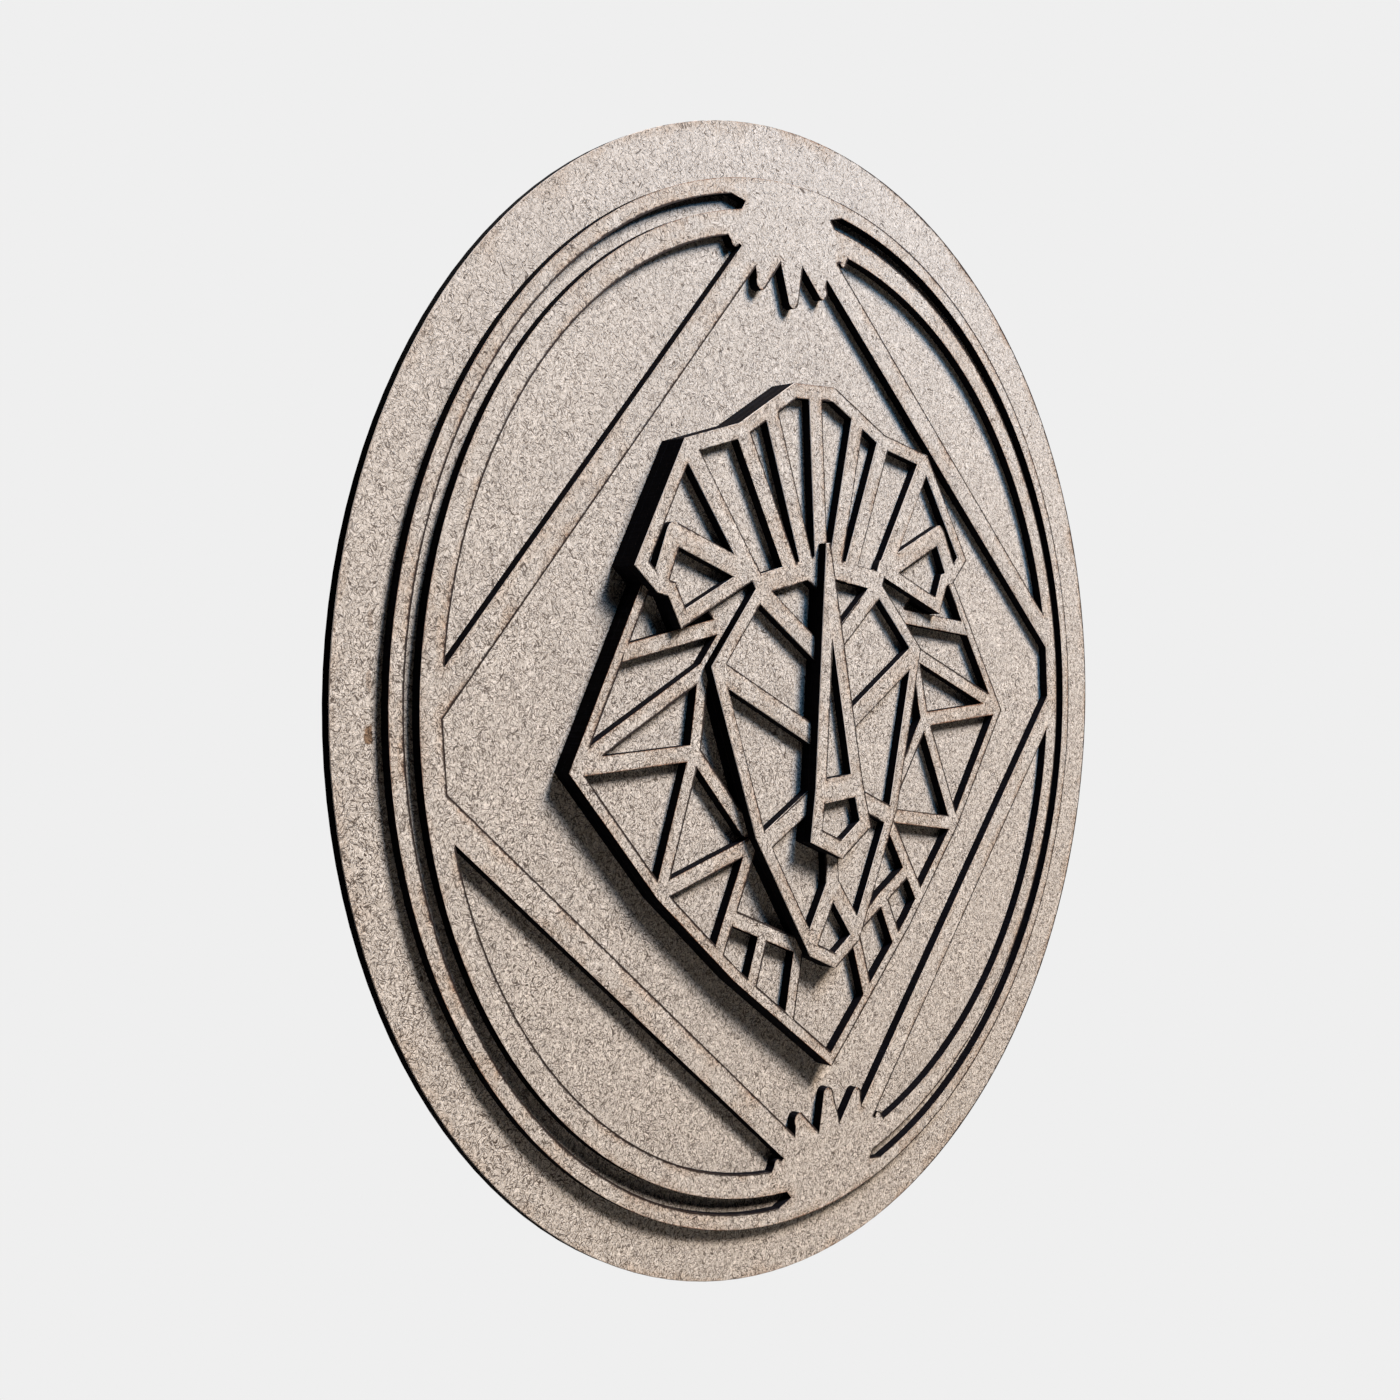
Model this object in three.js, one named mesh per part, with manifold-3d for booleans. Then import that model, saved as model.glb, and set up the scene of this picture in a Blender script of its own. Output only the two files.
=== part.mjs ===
// A round wall emblem of raw MDF, laser cut and glued up in layers: a backing disc, a ring
// frame with diagonal bars and claw tufts, and a geometric lion's head that steps forward
// from its base plate to the nose.
// Millimetres, +Z up. The front faces -Y, and the origin is the centre of the flat back.

import * as THREE from 'three';
import { mergeVertices } from 'three/addons/utils/BufferGeometryUtils.js';
import Module from 'manifold-3d';

const wasm = await Module();
wasm.setup();

// Sheet and disc
const SHEET = 3;               // thickness of every sheet
const DISC_DIAMETER = 350;
const GLUE_SHIFT_X = -2.2;     // ring and head were glued on slightly off the disc's centre
const GLUE_SHIFT_Z = -0.5;
const ARC_STEP = 2.5;          // degrees between the points of a round edge

// Ring frame, from the disc's edge inwards
const DISC_MARGIN = 16.5;      // disc that shows round the ring
const OUTER_BAND = 4.5;
const SLOT_WIDTH = 4.5;
const INNER_BAND = 7;
const DIAGONAL_WIDTH = 8;
const DIAGONAL_SLOPE = 44.4;   // degrees from level
const SIDE_LENGTH = 18.4;      // of the band between the diagonal bars, at each side of the opening

// The solid bridge between the two slots, and the slots' pointed ends
const BRIDGE_WIDTH = 40.6;
const SLOT_POINT_OUTER = 6;
const SLOT_POINT_INNER = 2;

// Claw tufts at the top and the bottom of the ring frame
const TUFT_WIDTH = 34;         // between the two valleys on the diagonal bars
const VALLEY_RISE = 2.4;       // from those valleys to the two beside the middle ray
const MIDDLE_RAY_BASE = 10.6;
const MIDDLE_RAY_LENGTH = 13;
const MIDDLE_RAY_END = 4.9;
const OUTER_RAY_LENGTH = 6.5;
const OUTER_RAY_END = 4.7;
const SMALL_RAY_BASE = 5.8;
const SMALL_RAY_LENGTH = 1.9;
const SMALL_RAY_END = 3.4;
const SMALL_RAY_SPREAD = 45.8; // between the corners where the small rays meet the bars
const RAY_ROOT = 3;            // how far a ray's root reaches into the sheet behind it

// Lion's head
const CROWN_CLEARANCE = 23.7;  // from the crown's top to the ray above it
const BEARD_CLEARANCE = 7.7;   // from the beard's tip to the ray below it
const LION_TURN = 0.7;         // degrees that the head sits turned, clockwise from the front
const NOSE_LEAN = 1;           // degrees that the nose leans the other way, about its top
const FACE_RIM = 4.5;
const FACE_BAR = 6.3;
const MANE_RIM = 3.5;
const MANE_BAR = 4.6;
const CHEEK_LEDGE = 1.6;       // of the mane sheet that shows along the upper cheek
const NOSE_RIM = 5.3;
const NOSE_CROSSBAR = 7.5;

// Drawing of the head's right half: x and z in hundredths of its height, from the ring's centre
const HEAD_SHARES = {
  crownTop: [4.7, 46.2],
  crownKnee: [16.8, 39.9],
  crownCorner: [27.9, 37.3],
  earTip: [38.2, 20.8],
  earUnder: [34.2, 17.2],
  earHeel: [32.2, 16.7],
  earLobe: [30.0, 12.3],
  notchUpper: [15.4, 18.3],
  notchLower: [14.8, 17.2],
  cheek: [24.5, 7.1],
  jaw: [16.8, -17.2],
  chinCorner: [5.9, -35.9],
  chinTip: [0, -38.9],

  crownCentre: [0, 46.2],
  crownRay: [10.4, 43.2],
  browPeak: [0, 20.4],
  browRay: [3.1, 19.8],
  browKnee: [6.6, 19.0],
  temple: [15.1, 19.0],
  browEnd: [14.8, 17.6],
  foreheadSide: [3.3, 18.3],
  foreheadTip: [0, 15.9],
  earCorner: [30.5, 24.9],
  eyeCentre: [0, 6.8],
  cheekBarEnd: [23.8, 6.9],
  cheekCentre: [0, -5.8],
  jawBarEnd: [16.1, -18.7],
  mouthCentre: [0, -11.3],
  lipCentre: [0, -21.0],
  chinFork: [0, -26.4],
  chinBarEnd: [6.9, -36.3],

  maneShoulder: [33.5, 22.0],
  maneApex: [49.7, -4.6],
  maneKnee: [35.2, -22.7],
  beardKnee: [21.0, -36.5],
  beardTip: [0, -53.8],
  apexJoint: [49.0, -4.1],
  earBarOuter: [41.0, 9.4],
  earBarInner: [19.9, 12.6],
  cheekJoint: [24.5, 6.6],
  hub: [26.9, -4.3],
  jawHubEnd: [17.2, -16.0],
  kneeJoint: [34.5, -22.0],
  jawJoint: [15.9, -18.2],
  beardBarOuter: [24.7, -33.7],
  beardBarStart: [20.8, -27.7],
  beardBarEnd: [7.4, -34.1],
  beardMiddleTop: [14.1, -30.8],
  beardMiddleEnd: [18.0, -39.5],
  beardInnerTop: [6.8, -35.2],
  beardInnerEnd: [9.7, -45.6],
  webOuter: [24.1, 14.9],
  webCorner: [21.2, 12.7],
  webInner: [19.4, 12.4],

  noseApex: [0, 27.1],
  noseTop: [0, 23.5],
  noseWaist: [5.6, -11.6],
  noseCorner: [7.3, -19.0],
  noseTip: [0, -22.6],
  noseBridge: [0, -12.2],
};

// Small tools for flat outlines, whose points are [x, z]

const radians = THREE.MathUtils.degToRad;

function flipped([x, z]) {
  return [-x, z];
}

// Points on an arc from one angle to another, in degrees from +X towards +Z
function arc(centre, radius, from, to, step = ARC_STEP) {
  const count = Math.max(2, Math.ceil(Math.abs(to - from) / step));
  return Array.from({ length: count + 1 }, (_, i) => {
    const angle = radians(from + (to - from) * i / count);
    return [centre[0] + radius * Math.cos(angle), centre[1] + radius * Math.sin(angle)];
  });
}

function circle(radius) {
  return arc([0, 0], radius, 0, 360).slice(0, -1);
}

function signedArea(points) {
  const contour = points.map(([x, z]) => new THREE.Vector2(x, z));
  return THREE.ShapeUtils.area(contour);
}

// The outline moved inwards by a distance, with its corners kept sharp
function inset(points, distance) {
  const outline = signedArea(points) > 0 ? points : [...points].reverse();
  const count = outline.length;
  const edges = outline.map(([x, z], i) => {
    const [nextX, nextZ] = outline[(i + 1) % count];
    const length = Math.hypot(nextX - x, nextZ - z);
    const along = [(nextX - x) / length, (nextZ - z) / length];
    return { start: [x - along[1] * distance, z + along[0] * distance], along };
  });
  return edges.map(({ start, along }, i) => {
    const before = edges[(i + count - 1) % count];
    const turn = before.along[0] * along[1] - before.along[1] * along[0];
    const gap = [start[0] - before.start[0], start[1] - before.start[1]];
    const reach = (gap[0] * along[1] - gap[1] * along[0]) / turn;
    return [before.start[0] + before.along[0] * reach, before.start[1] + before.along[1] * reach];
  });
}

// A straight bar with round ends between two points
function bar(from, to, width) {
  const heading = THREE.MathUtils.radToDeg(Math.atan2(to[1] - from[1], to[0] - from[0]));
  const capStep = 30;
  return [
    ...arc(from, width / 2, heading + 90, heading + 270, capStep),
    ...arc(to, width / 2, heading - 90, heading + 90, capStep),
  ];
}

// A ray with a round end, and with its root pushed back into the sheet that it grows from
function ray(left, right, tip, width) {
  const middle = [(left[0] + right[0]) / 2, (left[1] + right[1]) / 2];
  const length = Math.hypot(tip[0] - middle[0], tip[1] - middle[1]);
  const along = [(tip[0] - middle[0]) / length, (tip[1] - middle[1]) / length];
  const root = ([x, z]) => [x - along[0] * RAY_ROOT, z - along[1] * RAY_ROOT];
  const heading = THREE.MathUtils.radToDeg(Math.atan2(along[1], along[0]));
  const endStep = 22.5;
  return [root(left), left, ...arc(tip, width / 2, heading - 90, heading + 90, endStep), right, root(right)];
}

// Solids from outlines

const CUT = 1;                 // how far a cutter reaches past both faces of its sheet

function geometryFromOutline(points, back, front) {
  const shape = new THREE.Shape(points.map(([x, z]) => new THREE.Vector2(x, z)));
  const geometry = new THREE.ExtrudeGeometry(shape, { depth: front - back, bevelEnabled: false });
  const position = geometry.getAttribute('position');
  for (let i = 0; i < position.count; i++) {
    position.setXYZ(i, position.getX(i), -back - position.getZ(i), position.getY(i));
  }
  return geometry;
}

// The sheet lies between y = 0 and y = -SHEET; its place in the stack comes later
function solid(points, extra = 0) {
  const geometry = geometryFromOutline(points, -extra, SHEET + extra);
  geometry.deleteAttribute('normal');
  geometry.deleteAttribute('uv');
  const merged = mergeVertices(geometry);
  return new wasm.Manifold(new wasm.Mesh({
    numProp: 3,
    vertProperties: new Float32Array(merged.getAttribute('position').array),
    triVerts: new Uint32Array(merged.getIndex().array),
  }));
}

function cutter(points) {
  return solid(points, CUT);
}

// A solid that stays standing where a cutter passes
function keeper(points) {
  return solid(points, 2 * CUT);
}

function joined(solids) {
  return solids.reduce((sum, next) => sum.add(next));
}

function bars(pairs, width) {
  const shapes = pairs.flatMap(([from, to]) => {
    const [a, b] = [drawn(from), drawn(to)];
    return [bar(a, b, width), bar(flipped(a), flipped(b), width)];
  });
  return joined(shapes.map(keeper));
}

function mdf(color) {
  return new THREE.MeshStandardMaterial({ color, roughness: 0.85, metalness: 0, flatShading: true });
}

// A named sheet in the stack; layer 0 lies against the wall
function sheet(name, shape, layer, color) {
  const { vertProperties, triVerts } = shape.getMesh();
  const geometry = new THREE.BufferGeometry();
  geometry.setAttribute('position', new THREE.BufferAttribute(new Float32Array(vertProperties), 3));
  geometry.setIndex(new THREE.BufferAttribute(new Uint32Array(triVerts), 1));
  geometry.computeVertexNormals();
  const mesh = new THREE.Mesh(geometry, mdf(color));
  mesh.name = name;
  mesh.position.y = -layer * SHEET;
  return mesh;
}

// Ring frame

const ringRadius = DISC_DIAMETER / 2 - DISC_MARGIN;
const slotOuter = ringRadius - OUTER_BAND;
const slotInner = slotOuter - SLOT_WIDTH;
const bandInner = slotInner - INNER_BAND;
const slope = radians(DIAGONAL_SLOPE);

// Where a diagonal bar's inner edge meets the band, and how far its edges are from the centre
const sideCorner = [Math.sqrt(bandInner ** 2 - (SIDE_LENGTH / 2) ** 2), SIDE_LENGTH / 2];
const barInner = sideCorner[0] * Math.sin(slope) + sideCorner[1] * Math.cos(slope);
const barOuter = barInner + DIAGONAL_WIDTH;

// Height of a diagonal bar's edge above the centre line, at a distance x from the middle
function diagonalHeight(x, distance) {
  return (distance - x * Math.sin(slope)) / Math.cos(slope);
}

// Angle from +X of the lower point where a diagonal bar's outer edge crosses the band
function barCrossing() {
  const square = Math.PI / 2 - slope;
  return THREE.MathUtils.radToDeg(square - Math.acos(barOuter / bandInner));
}

function onCircle(x, radius) {
  return [x, Math.sqrt(radius ** 2 - x ** 2)];
}

function angleOf([x, z]) {
  return THREE.MathUtils.radToDeg(Math.atan2(z, x));
}

// One shape in the upper right quarter, repeated in all four
function quarters(points) {
  return [[1, 1], [-1, 1], [1, -1], [-1, -1]].map(([sx, sz]) => points.map(([x, z]) => [sx * x, sz * z]));
}

// Both of the curved slots, each from the top bridge round to the bottom one
function slots() {
  const tip = onCircle(BRIDGE_WIDTH / 2, (slotInner + slotOuter) / 2);
  const outerStart = angleOf(onCircle(BRIDGE_WIDTH / 2 + SLOT_POINT_OUTER, slotOuter));
  const innerStart = angleOf(onCircle(BRIDGE_WIDTH / 2 + SLOT_POINT_INNER, slotInner));
  const right = [
    tip,
    ...arc([0, 0], slotOuter, outerStart, -outerStart),
    [tip[0], -tip[1]],
    ...arc([0, 0], slotInner, -innerStart, innerStart),
  ];
  return [right, right.map(flipped)];
}

// The corners of the tuft's upper right half that lie on the diagonal bar and the band
function tuftCorners() {
  const valleyX = TUFT_WIDTH / 2;
  const notchX = SMALL_RAY_SPREAD / 2;
  const outerValley = [valleyX, diagonalHeight(valleyX, barInner)];
  const innerValley = [MIDDLE_RAY_BASE / 2, outerValley[1] + VALLEY_RISE];
  const notch = [notchX, diagonalHeight(notchX, barOuter)];
  const smallRayStart = onCircle(notchX + SMALL_RAY_BASE, bandInner);
  return { outerValley, innerValley, notch, smallRayStart };
}

// The window between the band and a diagonal bar, in the upper right quarter
function segmentWindow() {
  const { notch, smallRayStart } = tuftCorners();
  return [...arc([0, 0], bandInner, barCrossing(), angleOf(smallRayStart)), notch];
}

// The opening round the lion
function centreOpening() {
  const { outerValley, innerValley } = tuftCorners();
  const upper = [sideCorner, outerValley, innerValley];
  const across = upper.map(flipped).reverse();
  const lower = [...upper, ...across].map(([x, z]) => [x, -z]).reverse();
  return [...upper, ...across, ...lower];
}

// Height of the top tuft's lowest point above the centre line
function tuftTip() {
  return tuftCorners().innerValley[1] - MIDDLE_RAY_LENGTH;
}

function tuftRays() {
  const { outerValley, innerValley, notch, smallRayStart } = tuftCorners();
  const middleTip = [0, tuftTip() + MIDDLE_RAY_END / 2];
  const outerTip = [
    outerValley[0] - OUTER_RAY_END / 2,
    outerValley[1] - OUTER_RAY_LENGTH + OUTER_RAY_END / 2,
  ];
  const smallTip = [
    (notch[0] + smallRayStart[0]) / 2,
    (notch[1] + smallRayStart[1]) / 2 - SMALL_RAY_LENGTH + SMALL_RAY_END / 2,
  ];
  const middle = ray(flipped(innerValley), innerValley, middleTip, MIDDLE_RAY_END);
  return [
    middle,
    middle.map(([x, z]) => [x, -z]),
    ...quarters(ray(innerValley, outerValley, outerTip, OUTER_RAY_END)),
    ...quarters(ray(notch, smallRayStart, smallTip, SMALL_RAY_END)),
  ];
}

function ringFrame() {
  const openings = [...slots(), ...quarters(segmentWindow()), centreOpening()];
  return solid(circle(ringRadius))
    .subtract(joined(openings.map(cutter)))
    .add(joined(tuftRays().map((points) => solid(points))));
}

// Lion's head

// The head fills the height between the two tufts, less its clearances
const headTop = tuftTip() - CROWN_CLEARANCE;
const headHeight = headTop + tuftTip() - BEARD_CLEARANCE;

function drawn(name) {
  const [x, z] = HEAD_SHARES[name];
  const below = HEAD_SHARES.crownTop[1] - z;
  return [x * headHeight / 100, headTop - below * headHeight / 100];
}

// An outline from the names of its right half, listed from the top to the bottom
function mirroredOutline(names) {
  const right = names.map(drawn);
  const left = right.filter(([x]) => x > 0).map(flipped).reverse();
  return [...right, ...left];
}

// Points of the nose, turned about the middle of its top end
function leaning(points) {
  const [pivotX, pivotZ] = drawn('noseTop');
  const [sin, cos] = [Math.sin(radians(NOSE_LEAN)), Math.cos(radians(NOSE_LEAN))];
  return points.map(([x, z]) => {
    const [dx, dz] = [x - pivotX, z - pivotZ];
    return [pivotX + dx * cos - dz * sin, pivotZ + dx * sin + dz * cos];
  });
}

const faceOutline = mirroredOutline([
  'crownTop', 'crownKnee', 'crownCorner', 'earTip', 'earUnder', 'earHeel', 'earLobe',
  'notchUpper', 'notchLower', 'cheek', 'jaw', 'chinCorner', 'chinTip',
]);
const maneOutline = mirroredOutline([
  'maneShoulder', 'maneApex', 'maneKnee', 'beardKnee', 'beardTip',
]);
const noseOutline = leaning(mirroredOutline(['noseApex', 'noseWaist', 'noseCorner', 'noseTip']));

function silhouette() {
  return solid(maneOutline).add(solid(faceOutline));
}

// The nose tapers upwards and is cut off square just short of its point
function nose(make) {
  const top = drawn('noseTop')[1];
  const reach = headHeight;
  const above = [[-reach, top], [reach, top], [reach, top + reach], [-reach, top + reach]];
  return make(noseOutline).subtract(solid(leaning(above), 3 * CUT));
}

// Mane sheet: solid behind the crown and the face, a lattice outside them
function maneLattice() {
  const lattice = bars([
    ['earBarOuter', 'earBarInner'],
    ['apexJoint', 'cheekJoint'],
    ['apexJoint', 'hub'],
    ['cheekJoint', 'hub'],
    ['hub', 'jawHubEnd'],
    ['hub', 'kneeJoint'],
    ['kneeJoint', 'jawJoint'],
    ['jawJoint', 'beardBarOuter'],
    ['beardBarStart', 'beardBarEnd'],
    ['beardMiddleTop', 'beardMiddleEnd'],
    ['beardInnerTop', 'beardInnerEnd'],
  ], MANE_BAR);
  const ledges = bars([['notchLower', 'cheek']], 2 * CHEEK_LEDGE);
  const web = ['webOuter', 'notchUpper', 'notchLower', 'webInner', 'webCorner'].map(drawn);
  const openings = cutter(inset(maneOutline, MANE_RIM))
    .subtract(joined([lattice, ledges, keeper(web), keeper(web.map(flipped)), keeper(faceOutline)]));
  return silhouette().subtract(openings);
}

// Crown, ears and face: a rim, the bars inside it and a solid spine behind the nose
function faceLattice() {
  const lattice = bars([
    ['crownCentre', 'browPeak'],
    ['crownRay', 'browRay'],
    ['crownKnee', 'browKnee'],
    ['crownCorner', 'temple'],
    ['browEnd', 'browPeak'],
    ['browEnd', 'eyeCentre'],
    ['earCorner', 'temple'],
    ['earCorner', 'earUnder'],
    ['cheekBarEnd', 'cheekCentre'],
    ['jawBarEnd', 'mouthCentre'],
    ['lipCentre', 'chinFork'],
    ['chinFork', 'chinBarEnd'],
  ], FACE_BAR);
  const forehead = mirroredOutline(['browPeak', 'foreheadSide', 'foreheadTip']);
  const openings = cutter(inset(faceOutline, FACE_RIM))
    .subtract(joined([lattice, keeper(forehead), nose(keeper)]));
  return solid(faceOutline).subtract(openings);
}

// Nose: its window is the outline moved inwards, parted by one crossbar
function noseBridge() {
  const middle = drawn('noseBridge')[1];
  const crossbar = leaning(bar([-headHeight, middle], [headHeight, middle], NOSE_CROSSBAR));
  const openings = cutter(inset(noseOutline, NOSE_RIM)).subtract(keeper(crossbar));
  return nose(solid).subtract(openings);
}

// Assembly

const emblem = new THREE.Group();
emblem.add(sheet('backing_disc', solid(circle(DISC_DIAMETER / 2)), 0, '#b3a79c'));

const front = new THREE.Group();
front.position.set(GLUE_SHIFT_X, 0, GLUE_SHIFT_Z);
front.add(sheet('ring_frame', ringFrame(), 1, '#b8aa9d'));
emblem.add(front);

const lion = new THREE.Group();
lion.rotation.y = radians(LION_TURN);
lion.add(sheet('lion_base_plate', silhouette(), 1, '#b5a799'));
lion.add(sheet('mane_lattice', maneLattice(), 2, '#b8aa9d'));
lion.add(sheet('face_lattice', faceLattice(), 3, '#bcaea1'));
lion.add(sheet('nose_bridge', noseBridge(), 4, '#c0b2a6'));
front.add(lion);

export default emblem;
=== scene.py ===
"""Layered lion wall emblem: the finish of its six laser-cut sheets of raw MDF."""

import math

import bpy
import numpy
from bpy.props import FloatProperty, FloatVectorProperty, PointerProperty
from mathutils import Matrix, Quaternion, Vector
from mathutils.bvhtree import BVHTree


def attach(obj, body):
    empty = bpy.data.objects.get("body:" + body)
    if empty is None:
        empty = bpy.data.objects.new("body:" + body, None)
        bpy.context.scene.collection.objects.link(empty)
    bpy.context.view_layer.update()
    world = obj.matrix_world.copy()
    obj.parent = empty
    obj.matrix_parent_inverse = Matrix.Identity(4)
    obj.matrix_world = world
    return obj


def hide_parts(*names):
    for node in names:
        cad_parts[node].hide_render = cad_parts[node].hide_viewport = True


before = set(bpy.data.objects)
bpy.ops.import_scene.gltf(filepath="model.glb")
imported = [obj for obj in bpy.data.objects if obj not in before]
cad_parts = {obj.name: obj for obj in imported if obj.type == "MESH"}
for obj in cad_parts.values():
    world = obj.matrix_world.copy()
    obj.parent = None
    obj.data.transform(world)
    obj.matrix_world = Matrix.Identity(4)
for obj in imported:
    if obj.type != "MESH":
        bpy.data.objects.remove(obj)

bl_info = {
    "name": "Layered Lion Emblem",
    "version": (1, 0, 0),
    "blender": (4, 5, 0),
    "location": "View3D > Sidebar > Lion Emblem",
    "description": "Finishes the sheets of a laser-cut wall emblem as raw MDF with scorched edges",
    "category": "Object",
}

MM = 0.001
BODY = "root"

MERGE_DISTANCE = 0.002 * MM
COPLANAR = math.radians(0.1)
SMOOTH_ANGLE = math.radians(20)
# A face is front or back where its lean is above LEVEL, and a cut wall where it is below UPRIGHT.
# The chamfers between them lie between the two.
LEVEL = 0.95
UPRIGHT = 0.3

# Each point of a face knows how far it is from the nearest cut, up to FAR. The faces are made finer
# where the middle of an edge is off by more than LEAST_ERROR plus ERROR_SHARE of its distance.
FAR = 8.5 * MM
NEAR = 6.5 * MM
LEAST_ERROR = 0.12 * MM
ERROR_SHARE = 0.25
MOST_PASSES = 11
DISTANCE_ATTRIBUTE = "cut_distance"
SIDE_ATTRIBUTE = "scorch_highlight_side"
# Smoke browned every cut. Beside the cuts whose walls face right the scorch is drawn in full; beside those
# whose walls face left, towards the camera, it is mostly left out and the arris is light: painted
# highlight.
SCORCH_HIGHLIGHT_WAY = Vector((1, 0, 0))
# Which sheet lies on which. An edge within FLUSH of the walls of the sheet on top is only a seam in
# one high wall, and so is each back edge. The side of such an edge is SEAM.
ON_TOP = {
    "lion_base_plate": "mane_lattice",
    "mane_lattice": "face_lattice",
    "face_lattice": "nose_bridge",
}
FLUSH = 0.4 * MM
SEAM = 2.0
# How far towards its middle a face asks for the nearest wall, as a share.
INWARD = 0.05

# The face's fibres: the angles at which they lie, in degrees, the limits of the noise between which
# a fibre comes out, and the part of the noise that the first angle reads.
LIGHT_FIBRES = {"angles": (8, 53, 98, 143), "limits": (0.63, 0.73), "seed": 3.0}
DARK_FIBRES = {"angles": (30, 75, 120, 165), "limits": (0.65, 0.74), "seed": 40.0}
LONG_FIBRES = {"angles": (18, 64, 132), "limits": (0.7, 0.74), "seed": 83.0}

# Sizes in the board's face, in millimetres: how far the fibres' bends lie apart and reach, the fine
# mottle, the wide blotches, and the heights between which the fibres get stronger.
BEND_SIZE = 2.6
BEND_REACH = 1.8
MOTTLE_SIZE = 0.35
BLOTCH_SIZE = 22.0
FAINT_HEIGHT = 160.0
STRONG_HEIGHT = -10.0
# Bark specks: how far they lie apart and their radius in millimetres, the share of places that
# have one, and a shift that gives each kind places of its own.
SPECKS = (
    {"spacing": 6.0, "radius": 0.26, "share": 0.35, "shift": 5.0},
    {"spacing": 15.0, "radius": 0.36, "share": 0.5, "shift": 31.0},
)

# Sizes of the smoke's patches and ragged edges, in millimetres, the soot's clouds on the walls, the ragged
# ends of the arrises' painted highlight and the greyer stretches of the seams.
PATCH_SIZE = 14.0
RAGGED_SIZE = 1.3
STAIN_RAGGED_SIZE = 1.6
SOOT_SIZE = 9.0
HIGHLIGHT_RAGGED_SIZE = 2.4
SEAM_GREY_SIZE = 30.0

# Small stains on the faces: the place of the middle, the half width and height, all in millimetres,
# and the strength. Three lie on the disc's left margin and one on the crown's rim.
STAINS = (
    (-164.0, -3.0, 6.9, 1.3, 2.8, 0.95),
    (-163.1, -3.0, 19.5, 0.9, 2.6, 0.5),
    (-161.4, -3.0, 34.0, 0.8, 3.0, 0.4),
    (34.0, -12.0, 83.9, 1.4, 0.9, 1.0),
)

# The stage, in metres. The boxes all face the middle of the emblem.
KEY_PLACE = (1.02, -1.4, 1.7)
KEY_SIZE = 0.73
WINDOW_PLACE = (0.17, -0.42, 0.52)
WINDOW_SIZE = 0.26
BACK_PLACE = (0.3, 1.2, 0.5)
BACK_SIZE = 0.8
FLOOR_RADIUS = 0.6
FLOOR_PLACE = (0, 0, -0.6)
FLOOR_SIDES = 96
SENSOR_WIDTH = 36.0
NEAREST_SEEN = 0.01


def linear(hex_colour):
    """The linear colour of an sRGB hex value such as "#C8BEB6"."""
    channels = [int(hex_colour[place : place + 2], 16) / 255 for place in (1, 3, 5)]
    return tuple(c / 12.92 if c <= 0.04045 else ((c + 0.055) / 1.055) ** 2.4 for c in channels)


def opaque(colour):
    """The colour with full alpha, as a shader's socket wants it."""
    return (*colour, 1.0)


class EmblemSheets(bpy.types.PropertyGroup):
    """How the sheets' edges are cut"""

    arris: FloatProperty(
        name="Arris",
        description="Width of the small chamfer that the laser leaves along each cut edge",
        default=0.16 * MM,
        unit="LENGTH",
        subtype="DISTANCE",
    )


def colour_setting(name, hex_colour, description):
    """A colour that a user can change."""
    return FloatVectorProperty(
        name=name, description=description, default=linear(hex_colour), subtype="COLOR"
    )


def length_setting(name, in_mm, description):
    """A length that a user can change."""
    return FloatProperty(
        name=name, description=description, default=in_mm * MM, unit="LENGTH", subtype="DISTANCE"
    )


class EmblemFinish(bpy.types.PropertyGroup):
    """Colours and sizes of the raw MDF and its scorched edges"""

    face: colour_setting("Board", "#B9AFA2", "Colour of the sanded face of the board")
    light_fibre: colour_setting("Light fibre", "#E6DCCF", "Colour of the pale fibres pressed into the face")
    dark_fibre: colour_setting("Dark fibre", "#463A30", "Colour of the dark fibres in the face")
    bark: colour_setting("Bark", "#2E241F", "Colour of the specks of bark in the face")
    haze: colour_setting("Haze", "#DCC4AB", "Tint of the pale brown haze that smoke leaves near a cut")
    rim: colour_setting("Smoked rim", "#B07E58", "Tint of the brown rim that smoke leaves beside a cut")
    scorch: colour_setting("Scorch", "#1D120D", "Colour of the burnt line right at a cut")
    char: colour_setting("Char", "#0C0B0E", "Colour of the burnt wall of a cut")
    ash: colour_setting("Ash", "#1B1A20", "Colour of the ridges between the laser's grooves")
    # Painted highlight: the light arris along the cuts whose walls face left.
    arris_highlight: colour_setting("Arris highlight", "#C6B9AC", "Colour of the edge that the smoke missed")
    stain: colour_setting("Stain", "#A08468", "Tint of the few small stains on the board")
    fibre_length: length_setting("Fibre length", 1.1, "Length of one fibre in the face of the board")
    fibre_width: length_setting(
        "Fibre width", 0.15, "Width of one fibre, drawn coarser than the real 0.05 mm so that it shows"
    )
    long_fibre: length_setting("Long fibre length", 2.0, "Length of the few longer dark fibres")
    line_reach: length_setting("Scorch reach", 1.05, "How far the burnt line reaches from a cut at most")
    rim_reach: length_setting("Rim reach", 1.7, "How far the brown rim reaches from a cut at most")
    haze_reach: length_setting("Haze reach", 8.0, "How far the pale haze reaches from a cut at most")
    groove_width: length_setting("Groove width", 0.45, "Spacing of the laser's grooves in a cut wall")


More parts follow.
